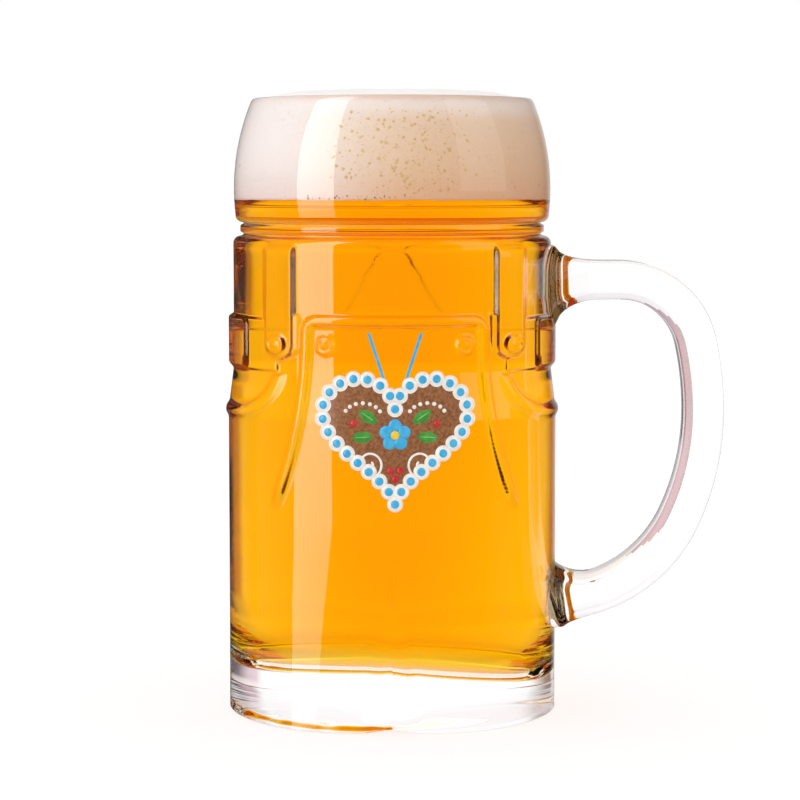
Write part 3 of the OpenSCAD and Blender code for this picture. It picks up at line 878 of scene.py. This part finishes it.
def handle_object():
    section = linked("handle_section", poly_curve("handle_section", handle_section(), True))
    made = grown("mug_handle", poly_curve("handle_path", handle_path(), False), handle_tree(),
                 {"Flare length": flare_l * MM, "Flange": flange_t * MM,
                  "Upper flare": upper_flare_h * MM, "Lower flare": lower_flare_h * MM,
                  "Upper lean": upper_flare_lean, "Lower lean": lower_flare_lean,
                  "Sink": foot_sink * MM, "Upper wall": upper_r * MM, "Lower wall": lower_r * MM,
                  "Wall change": hip_z * MM, "Section": section, "Material": glass})
    bpy.data.objects.remove(section)
    shape = bmesh.new()
    shape.from_mesh(made.data)
    bmesh.ops.holes_fill(shape, edges=[e for e in shape.edges if e.is_boundary])
    bmesh.ops.recalc_face_normals(shape, faces=shape.faces)
    shape.to_mesh(made.data)
    shape.free()
    faces = made.data.polygons
    caps = [len(p.vertices) > 4 for p in faces]
    faces.foreach_set("use_smooth", [not cap for cap in caps])
    # The caps take the joint glass, whose smoky brown is painted shade, and the slant takes the mauve grey
    # edge glass, also painted shade
    made.data.materials.append(shaded_joint_glass)
    made.data.materials.append(shaded_edge_glass)
    faces.foreach_set("material_index", [int(cap) + 2 * on_slant(p) for cap, p in zip(caps, faces)])
    return made


handle_piece = handle_object()


# Bubbles in the foam and along the beer's edge: the size of a cloud of them, how much rarer large ones are,
# how flat they are, and the share that strays to the sides
bubble_cloud = 16
bubble_power = 4.0
bubble_depth = 0.5
bubble_strays = 0.01


def bubble_tree():
    """Scatters flat bubbles over the upright faces of a mesh between two heights, in loose clouds."""
    numbers = ("Density", "Low", "High", "Left", "Right", "Fade", "Smallest", "Largest")
    tree, given = new_tree("bubbles", numbers, Seed="Int")
    place = add(tree, "GeometryNodeInputPosition")
    at = add(tree, "ShaderNodeSeparateXYZ", {0: place}).outputs
    shares = [add(tree, "ShaderNodeMath", {0: at["Z"], 1: given[limit]}, operation=side)
              for limit, side in (("Low", "GREATER_THAN"), ("High", "LESS_THAN"))]
    for limit, side in (("Left", "SUBTRACT"), ("Right", "ADD")):
        outer = add(tree, "ShaderNodeMath", {0: given[limit], 1: given["Fade"]}, operation=side)
        shares.append(add(tree, "ShaderNodeMapRange", {"Value": at["X"], "From Min": outer,
                                                       "From Max": given[limit], "To Min": bubble_strays}))
    cloud = add(tree, "ShaderNodeTexNoise", {"Vector": place, "Scale": 1 / (bubble_cloud * MM),
                                             "Detail": 2.0})
    shares.append(add(tree, "ShaderNodeMapRange", {"Value": cloud, "From Min": 0.35, "From Max": 0.65,
                                                   "To Min": 0.4, "To Max": 1.6}))
    density = given["Density"]
    for share in shares:
        density = add(tree, "ShaderNodeMath", {0: density, 1: share}, operation="MULTIPLY")
    points = add(tree, "GeometryNodeDistributePointsOnFaces",
                 {"Mesh": given["Geometry"], "Density": density, "Seed": given["Seed"]})
    chance = add(tree, "FunctionNodeRandomValue", {"Seed": given["Seed"]}, data_type="FLOAT")
    small = add(tree, "ShaderNodeMath", {0: chance, 1: bubble_power}, operation="POWER")
    size = add(tree, "ShaderNodeMapRange", {"Value": small, "To Min": given["Smallest"],
                                            "To Max": given["Largest"]})
    depth = add(tree, "ShaderNodeMath", {0: size, 1: bubble_depth}, operation="MULTIPLY")
    scale = add(tree, "ShaderNodeCombineXYZ", {"X": size, "Y": size, "Z": depth})
    ball = add(tree, "GeometryNodeMeshIcoSphere", {"Radius": 1.0, "Subdivisions": 2})
    placed = add(tree, "GeometryNodeInstanceOnPoints",
                 {"Points": points.outputs["Points"], "Instance": ball,
                  "Rotation": points.outputs["Rotation"], "Scale": scale})
    return end_tree(tree, placed, given["Material"])


bubbles = bubble_tree()
foam_bubbles = grown("foam_bubbles", foam_piece.data, bubbles,
                     {"Density": 0.8 / MM ** 2, "Low": (fill_z + 1.6) * MM, "High": (rim_z - 2) * MM,
                      "Left": -12 * MM, "Right": 16 * MM, "Fade": 4 * MM,
                      "Smallest": 0.1 * MM, "Largest": 0.46 * MM, "Seed": 7, "Material": foam_bubble})
edge_bubbles = grown("beer_edge_bubbles", foam_piece.data, bubbles,
                     {"Density": 4.5 / MM ** 2, "Low": (fill_z + 0.1) * MM, "High": (fill_z + 0.8) * MM,
                      "Left": -14 * MM, "Right": -2 * MM, "Fade": 8 * MM,
                      "Smallest": 0.1 * MM, "Largest": 0.3 * MM, "Seed": 3, "Material": edge_bubble})

# Print
enamels = {
    "print_gingerbread": fired_enamel("fired_enamel_brown", "#84502F", "#A87148", 0.7),
    "print_white_icing": fired_enamel("fired_enamel_white", "#FFFAF2", "#F2EAE2"),
    "print_blue_icing": fired_enamel("fired_enamel_blue", "#35AEE2", "#52BDEA"),
    "print_leaves": fired_enamel("fired_enamel_green", "#3A8F36", "#57A94C"),
    "print_berries": fired_enamel("fired_enamel_red", "#C91F27", "#DA3A3C"),
    "print_flower_eye": fired_enamel("fired_enamel_yellow", "#F4C52B", "#F7D552"),
}
for name, ink in enamels.items():
    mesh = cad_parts[name].data
    mesh.materials.clear()
    mesh.materials.append(ink)
white = enamels["print_white_icing"]
blue = enamels["print_blue_icing"]
pale_green = fired_enamel("fired_enamel_pale_green", "#7CC062", "#93CE74")

# Raised enamel on the print: places on the heart in X and Z from its middle
heart_h = 30.4
heart_drop = 30.4
heart_z = flap_top - heart_drop
heart_x = 0.8
scallop_count = 32
scallop_r = 1.95
dot_r = 1.05
flower_at = np.array([0, 1.6])
flower_r = 3.9
flower_eye_r = 1.1
petal_r = 1.6
leaf_l = 5.2
leaf_start = flower_r + 1.4
leaf_angles = (34, -4)
rib_r = 0.16
rib_stretch = 13.0
berry_r = 0.9
bunch_drop = 8.7
pearl_r = 0.48
scroll_r = 0.3
bead_rise = 0.12
scroll_rise = 0.15
mirror = [-1, 1]


def heart_border(count):
    """Places that lie evenly along the heart's outline."""
    a = np.radians(np.linspace(0, 360, 361))
    raw = 13 * np.cos(a) - 5 * np.cos(2 * a) - 2 * np.cos(3 * a) - np.cos(4 * a)
    level = heart_h * ((raw - raw.min()) / (raw.max() - raw.min()) - 0.5)
    drop = flap_top - welt_w - flap_round - heart_z - level[90]
    room = flap_w / 2 - welt_w + flap_flare_r - math.sqrt(flap_flare_r ** 2 - drop ** 2)
    line = np.column_stack([(room - 0.3 - scallop_r - heart_x) * np.sin(a) ** 3, level])
    run = np.concatenate([[0], np.cumsum(np.hypot(*np.diff(line, axis=0).T))])
    even = np.linspace(0, run[-1], count + 1)[:-1]
    return np.column_stack([np.interp(even, run, line[:, i]) for i in (0, 1)])


def ring_of(count, radius, start):
    a = np.radians(start + np.linspace(0, 360, count + 1)[:-1])
    return radius * np.column_stack([np.cos(a), np.sin(a)])


def on_wall(places, rise):
    """Points that lie at places on the heart, rise above the wall."""
    x = places[:, 0] + heart_x
    z = places[:, 1] + heart_z
    y = -np.sqrt((wall_r(z) + rise) ** 2 - x ** 2)
    return np.column_stack([x, y, z])


def bead_tree():
    """Sets a flat round bead on the round wall at every point, turned and stretched as the point says."""
    tree, given = new_tree("enamel_beads", ("Radius", "Height"))
    turn, stretch = (add(tree, "GeometryNodeInputNamedAttribute", {"Name": name},
                         data_type="FLOAT") for name in ("turn", "stretch"))
    place = add(tree, "GeometryNodeInputPosition")
    out = add(tree, "ShaderNodeVectorMath", {0: place, 1: (1, 1, 0)}, operation="MULTIPLY")
    across = add(tree, "ShaderNodeVectorMath", {0: (0, 0, 1), 1: out}, operation="CROSS_PRODUCT")
    upright = add(tree, "FunctionNodeAxesToRotation", {"Primary Axis": out, "Secondary Axis": across},
                  primary_axis="Z", secondary_axis="X")
    spin = add(tree, "FunctionNodeAxisAngleToRotation", {"Axis": (0, 0, 1), "Angle": turn})
    turned = add(tree, "FunctionNodeRotateRotation", {"Rotation": upright, "Rotate By": spin},
                 rotation_space="LOCAL")
    long = add(tree, "ShaderNodeMath", {0: given["Radius"], 1: stretch}, operation="MULTIPLY")
    scale = add(tree, "ShaderNodeCombineXYZ", {"X": long, "Y": given["Radius"], "Z": given["Height"]})
    ball = add(tree, "GeometryNodeMeshUVSphere", {"Segments": 16, "Rings": 8, "Radius": 1.0})
    placed = add(tree, "GeometryNodeInstanceOnPoints",
                 {"Points": given["Geometry"], "Instance": ball, "Rotation": turned, "Scale": scale})
    return end_tree(tree, placed, given["Material"])


def piping_tree():
    """Lays a round bead of enamel along a curve."""
    tree, given = new_tree("enamel_piping", ("Radius",))
    ring = add(tree, "GeometryNodeCurvePrimitiveCircle", {"Resolution": 10, "Radius": given["Radius"]},
               mode="RADIUS")
    tube = add(tree, "GeometryNodeCurveToMesh", {"Curve": given["Geometry"],
                                                 "Profile Curve": ring, "Fill Caps": True})
    return end_tree(tree, tube, given["Material"])


beads = bead_tree()
piping = piping_tree()


def raised(name, places, radius, height, ink, rise=bead_rise, turns=0.0, stretch=1.0):
    """Beads of enamel at places on the heart, with their middles rise above the wall."""
    mesh = bpy.data.meshes.new(name + "_places")
    mesh.from_pydata((on_wall(places, rise) * MM).tolist(), [], [])
    for key, value in (("turn", turns), ("stretch", stretch)):
        mesh.attributes.new(key, "FLOAT", "POINT").data.foreach_set("value", np.full(len(places), value))
    return grown(name, mesh, beads, {"Radius": radius * MM, "Height": height * MM, "Material": ink})


def piped(name, places):
    """A bead of white enamel along places on the heart."""
    path = poly_curve(name + "_path", [Vector(p) * MM for p in on_wall(places, scroll_rise)], False)
    return grown(name, path, piping, {"Radius": scroll_r * MM, "Material": white})


border = heart_border(scallop_count)
petals = flower_at + ring_of(5, flower_r - petal_r, 90)
bow = np.radians(np.linspace(25, 155, 7))
bow = np.column_stack([7.8 + 4.6 * np.cos(bow), 6 + 3.3 * np.sin(bow)])
pearls = np.concatenate([bow, bow * mirror])
leaf_turns = np.radians([*leaf_angles, *(180 - a for a in leaf_angles)])
leaf_ways = np.column_stack([np.cos(leaf_turns), np.sin(leaf_turns)])
leaf_middles = flower_at + (leaf_start + leaf_l / 2) * leaf_ways
side_turn = math.radians(sum(leaf_angles) / 2)
side_berry = (leaf_start + leaf_l) * np.array([math.cos(side_turn), math.sin(side_turn)])
bunch = flower_at + [0, -bunch_drop] + 1.3 * berry_r * np.array([[-1, 0], [1, 0], [0, -1.7]])
berries = np.concatenate([bunch, [flower_at + side_berry, flower_at + side_berry * mirror]])
curl = np.linspace(0, 1, 60)
curl_turn = np.radians(250 - 470 * curl)
curl_r = 3.4 - 2.7 * curl
scroll = np.column_stack([6.3 + curl_r * np.cos(curl_turn), -5.4 + curl_r * np.sin(curl_turn)])
added_pieces = [
    (raised("icing_scallops", border, scallop_r - 0.05, 0.55, white), "enamel_white"),
    (raised("icing_pearls", pearls, pearl_r, 0.4, white), "enamel_white"),
    (raised("icing_dots", border, dot_r, 0.35, blue, 0.55), "enamel_blue"),
    (raised("icing_petals", petals, petal_r - 0.08, 0.4, blue), "enamel_blue"),
    (raised("icing_flower_eye", flower_at[None], flower_eye_r, 0.45, enamels["print_flower_eye"], 0.3),
     "enamel_yellow"),
    (raised("icing_berries", berries, berry_r - 0.03, 0.6, enamels["print_berries"]), "enamel_red"),
    (raised("leaf_ribs", leaf_middles, rib_r, 0.2, pale_green, bead_rise, leaf_turns, rib_stretch),
     "enamel_green"),
    (piped("icing_scroll_right", scroll), "enamel_white"),
    (piped("icing_scroll_left", scroll * mirror), "enamel_white"),
    (foam_bubbles, "foam"),
    (edge_bubbles, "foam"),
]

# Every piece rides on the root, and the frame parts that the body, handle, beer and foam take the place of
# are hidden
for piece, slot in added_pieces:
    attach(piece, "root")
for piece, node, slot in ((body_piece, "glass_body", "glass"), (handle_piece, "handle", "glass"),
                          (beer_piece, "beer", "beer"), (foam_piece, "foam_head", "foam")):
    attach(piece, "root")
    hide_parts(node)


# Stage: a pale floor that keeps the shadow, a white surround and soft studio light
def pale_floor():
    """Matt pale paint that looks white to the camera and still shows a soft shadow."""
    made, tree, shader = new_material("pale_studio_floor", {"Base Color": linear("#F4F4F4"), "Roughness": 0.9,
                                                            "Specular IOR Level": 0.0})
    glow = add(tree, "ShaderNodeEmission", {"Color": (1, 1, 1, 1), "Strength": 1.12})
    seen = add(tree, "ShaderNodeLightPath").outputs["Is Camera Ray"]
    share = add(tree, "ShaderNodeMath", {0: seen, 1: 0.6}, operation="MULTIPLY")
    mix = add(tree, "ShaderNodeMixShader", {0: share, 1: shader, 2: glow})
    join(tree, mix, tree.nodes["Material Output"].inputs["Surface"])
    return made


floor_half = 3000.0
floor = make_object("floor", [[x * floor_half, y * floor_half, -0.1] for x, y in
                              ((-1, -1), (1, -1), (1, 1), (-1, 1))], [(0, 1, 2, 3)], pale_floor())
floor.visible_glossy = False
floor.visible_transmission = False

# Colours that the flags show through the glass, from the side at 0 to straight ahead at 1
left_flag = [(0.0, (0.95, 0.88, 0.92)), (0.42, (0.9, 0.82, 0.86)), (0.5, (0.3, 0.2, 0.16)),
             (0.58, (0.35, 0.25, 0.2)), (0.72, (1, 1, 1))]
right_flag = [(0.0, (0.6, 0.52, 0.56)), (0.16, (0.5, 0.42, 0.46)), (0.26, (0.1, 0.06, 0.07)),
              (0.55, (0.1, 0.06, 0.07)), (0.64, (0.55, 0.4, 0.44)), (0.7, (0.6, 0.44, 0.48)),
              (0.76, (1, 1, 1))]
steep_tone = (0.96, 0.92, 0.95, 1)
down_tone = (0.82, 0.76, 0.72, 1)

# Light on the foam through the glass, from the left to the right, and its tint from below
foam_left = (1.55, 1.56, 1.58, 1)
foam_right = (0.74, 0.74, 0.73, 1)
foam_below = (0.84, 0.8, 0.76, 1)

# Light on matt surfaces
matt_left = (1.15, 1.15, 1.15, 1)
matt_right = (0.95, 0.95, 0.95, 1)

# Cards in a reflection: middle and half width in degrees round the mug, lowest and highest slope, and power
right_card = (70, 20, -0.015, 0.9, 0.9)
softbox = (-57, 15, -0.3, 0.9, 4.4)


def studio_world():
    """White to the camera. Glass sees a white surround with darker flags at the sides, and a gloss sees a dim
    room with a tall softbox on the left and a weak card on the right."""
    world = bpy.data.worlds.new("studio")
    world.use_nodes = True
    tree = world.node_tree
    tree.nodes.clear()
    toward = add(tree, "ShaderNodeTexCoord").outputs["Generated"]
    way = add(tree, "ShaderNodeSeparateXYZ", {0: toward}).outputs
    path = add(tree, "ShaderNodeLightPath").outputs
    # Through the glass: the flags, each a row of colours from the side to straight ahead
    ahead = add(tree, "ShaderNodeMath", {0: way["Y"]}, operation="ABSOLUTE")
    flags = []
    for stops in left_flag, right_flag:
        row = add(tree, "ShaderNodeValToRGB", {0: ahead})
        elements = row.color_ramp.elements
        for place, _ in stops[1:-1]:
            elements.new(place)
        for element, (place, colour) in zip(elements, stops):
            element.position = place
            element.color = (*colour, 1)
        flags.append(row)
    aside = add(tree, "ShaderNodeMapRange", {"Value": way["X"], "From Min": -0.15, "From Max": 0.15})
    flag = add(tree, "ShaderNodeMix", {"Factor": aside, "A": flags[0], "B": flags[1]}, data_type="RGBA")
    level = add(tree, "ShaderNodeMath", {0: way["Z"]}, operation="ABSOLUTE")
    steep = add(tree, "ShaderNodeMapRange", {"Value": level, "From Min": 0.17, "From Max": 0.2,
                                             "To Max": 0.7})
    down = add(tree, "ShaderNodeMapRange", {"Value": way["Z"], "From Min": -0.3, "From Max": -0.5})
    for share, tone in ((steep, steep_tone), (down, down_tone)):
        flag = add(tree, "ShaderNodeMix", {"Factor": share, "A": flag, "B": tone}, data_type="RGBA")
    foot = add(tree, "ShaderNodeMapRange", {"Value": way["Z"], "From Min": -0.06, "From Max": -0.17,
                                            "To Min": 1.06, "To Max": 1.25})
    side = add(tree, "ShaderNodeMix", {"Factor": 1.0, "A": flag, "B": foot},
               data_type="RGBA", blend_type="MULTIPLY")
    # Through the glass: the light on the foam, which faces the front
    to_right = add(tree, "ShaderNodeMapRange", {"Value": way["X"], "From Min": -0.75, "From Max": 0.45})
    lit = add(tree, "ShaderNodeMix", {"Factor": to_right, "A": foam_left, "B": foam_right}, data_type="RGBA")
    low = add(tree, "ShaderNodeMapRange", {"Value": way["Z"], "From Min": 0.1, "From Max": -0.5})
    shade = add(tree, "ShaderNodeMix", {"Factor": low, "A": (1, 1, 1, 1), "B": foam_below}, data_type="RGBA")
    lit = add(tree, "ShaderNodeMix", {"Factor": 1.0, "A": lit, "B": shade},
              data_type="RGBA", blend_type="MULTIPLY")
    front = add(tree, "ShaderNodeMapRange", {"Value": way["Y"], "From Min": 0.1, "From Max": -0.3})
    on_foam = add(tree, "ShaderNodeMath", {0: path["Diffuse Depth"], 1: front},
                  operation="MULTIPLY", use_clamp=True)
    through = add(tree, "ShaderNodeMix", {"Factor": on_foam, "A": side, "B": lit}, data_type="RGBA")
    # In a reflection
    nearer = add(tree, "ShaderNodeMath", {0: way["Y"], 1: -1.0}, operation="MULTIPLY")
    turn = add(tree, "ShaderNodeMath", {0: way["X"], 1: nearer}, operation="ARCTAN2")
    edge = add(tree, "ShaderNodeMapRange", {"Value": way["Y"], "From Min": 0.86, "From Max": 0.96})
    edge = add(tree, "ShaderNodeMath", {0: edge, 1: aside}, operation="MULTIPLY")
    gloss = add(tree, "ShaderNodeMapRange", {"Value": edge, "To Min": 0.03, "To Max": 0.55})
    fade = add(tree, "ShaderNodeMapRange", {"Value": way["Z"], "From Min": -0.2, "From Max": -0.05,
                                            "To Min": 0.5})
    for middle, half, low, high, power in right_card, softbox:
        card = add(tree, "ShaderNodeMath", {0: turn, 1: math.radians(middle), 2: math.radians(half)},
                   operation="COMPARE")
        tall = add(tree, "ShaderNodeMath", {0: way["Z"], 1: (low + high) / 2, 2: (high - low) / 2},
                   operation="COMPARE")
        for share in tall, fade:
            card = add(tree, "ShaderNodeMath", {0: card, 1: share}, operation="MULTIPLY")
        bright = (power, power, power, 1)
        gloss = add(tree, "ShaderNodeMix", {"Factor": card, "A": gloss, "B": bright}, data_type="RGBA")
    # On matt surfaces
    seen = add(tree, "ShaderNodeMix", {"Factor": to_right, "A": matt_left, "B": matt_right}, data_type="RGBA")
    for ray, sight in (("Is Glossy Ray", gloss), ("Is Transmission Ray", through),
                       ("Is Camera Ray", (1, 1, 1, 1))):
        seen = add(tree, "ShaderNodeMix", {"Factor": path[ray], "A": seen, "B": sight}, data_type="RGBA")
    light = add(tree, "ShaderNodeBackground", {"Color": seen, "Strength": 1.0})
    add(tree, "ShaderNodeOutputWorld", {"Surface": light})
    return world


scene = bpy.context.scene
scene.world = studio_world()
scene.view_settings.view_transform = "Standard"
scene.cycles.max_bounces = 24
scene.cycles.transmission_bounces = 24
scene.cycles.glossy_bounces = 12
scene.cycles.diffuse_bounces = 6
scene.cycles.blur_glossy = 0.0

# Camera: a long lens a little below the rim, tilted down
camera_data = bpy.data.cameras.new("camera")
camera_data.sensor_width = 36.0
camera_data.lens = 119.25
camera = linked("camera", camera_data)
eye = Vector((2.0, -680.0, 135.0))
aim = Vector((2.0, 0.0, 78.9))
camera.location = eye * MM
camera.rotation_euler = (aim - eye).to_track_quat("-Z", "Y").to_euler()
scene.camera = camera
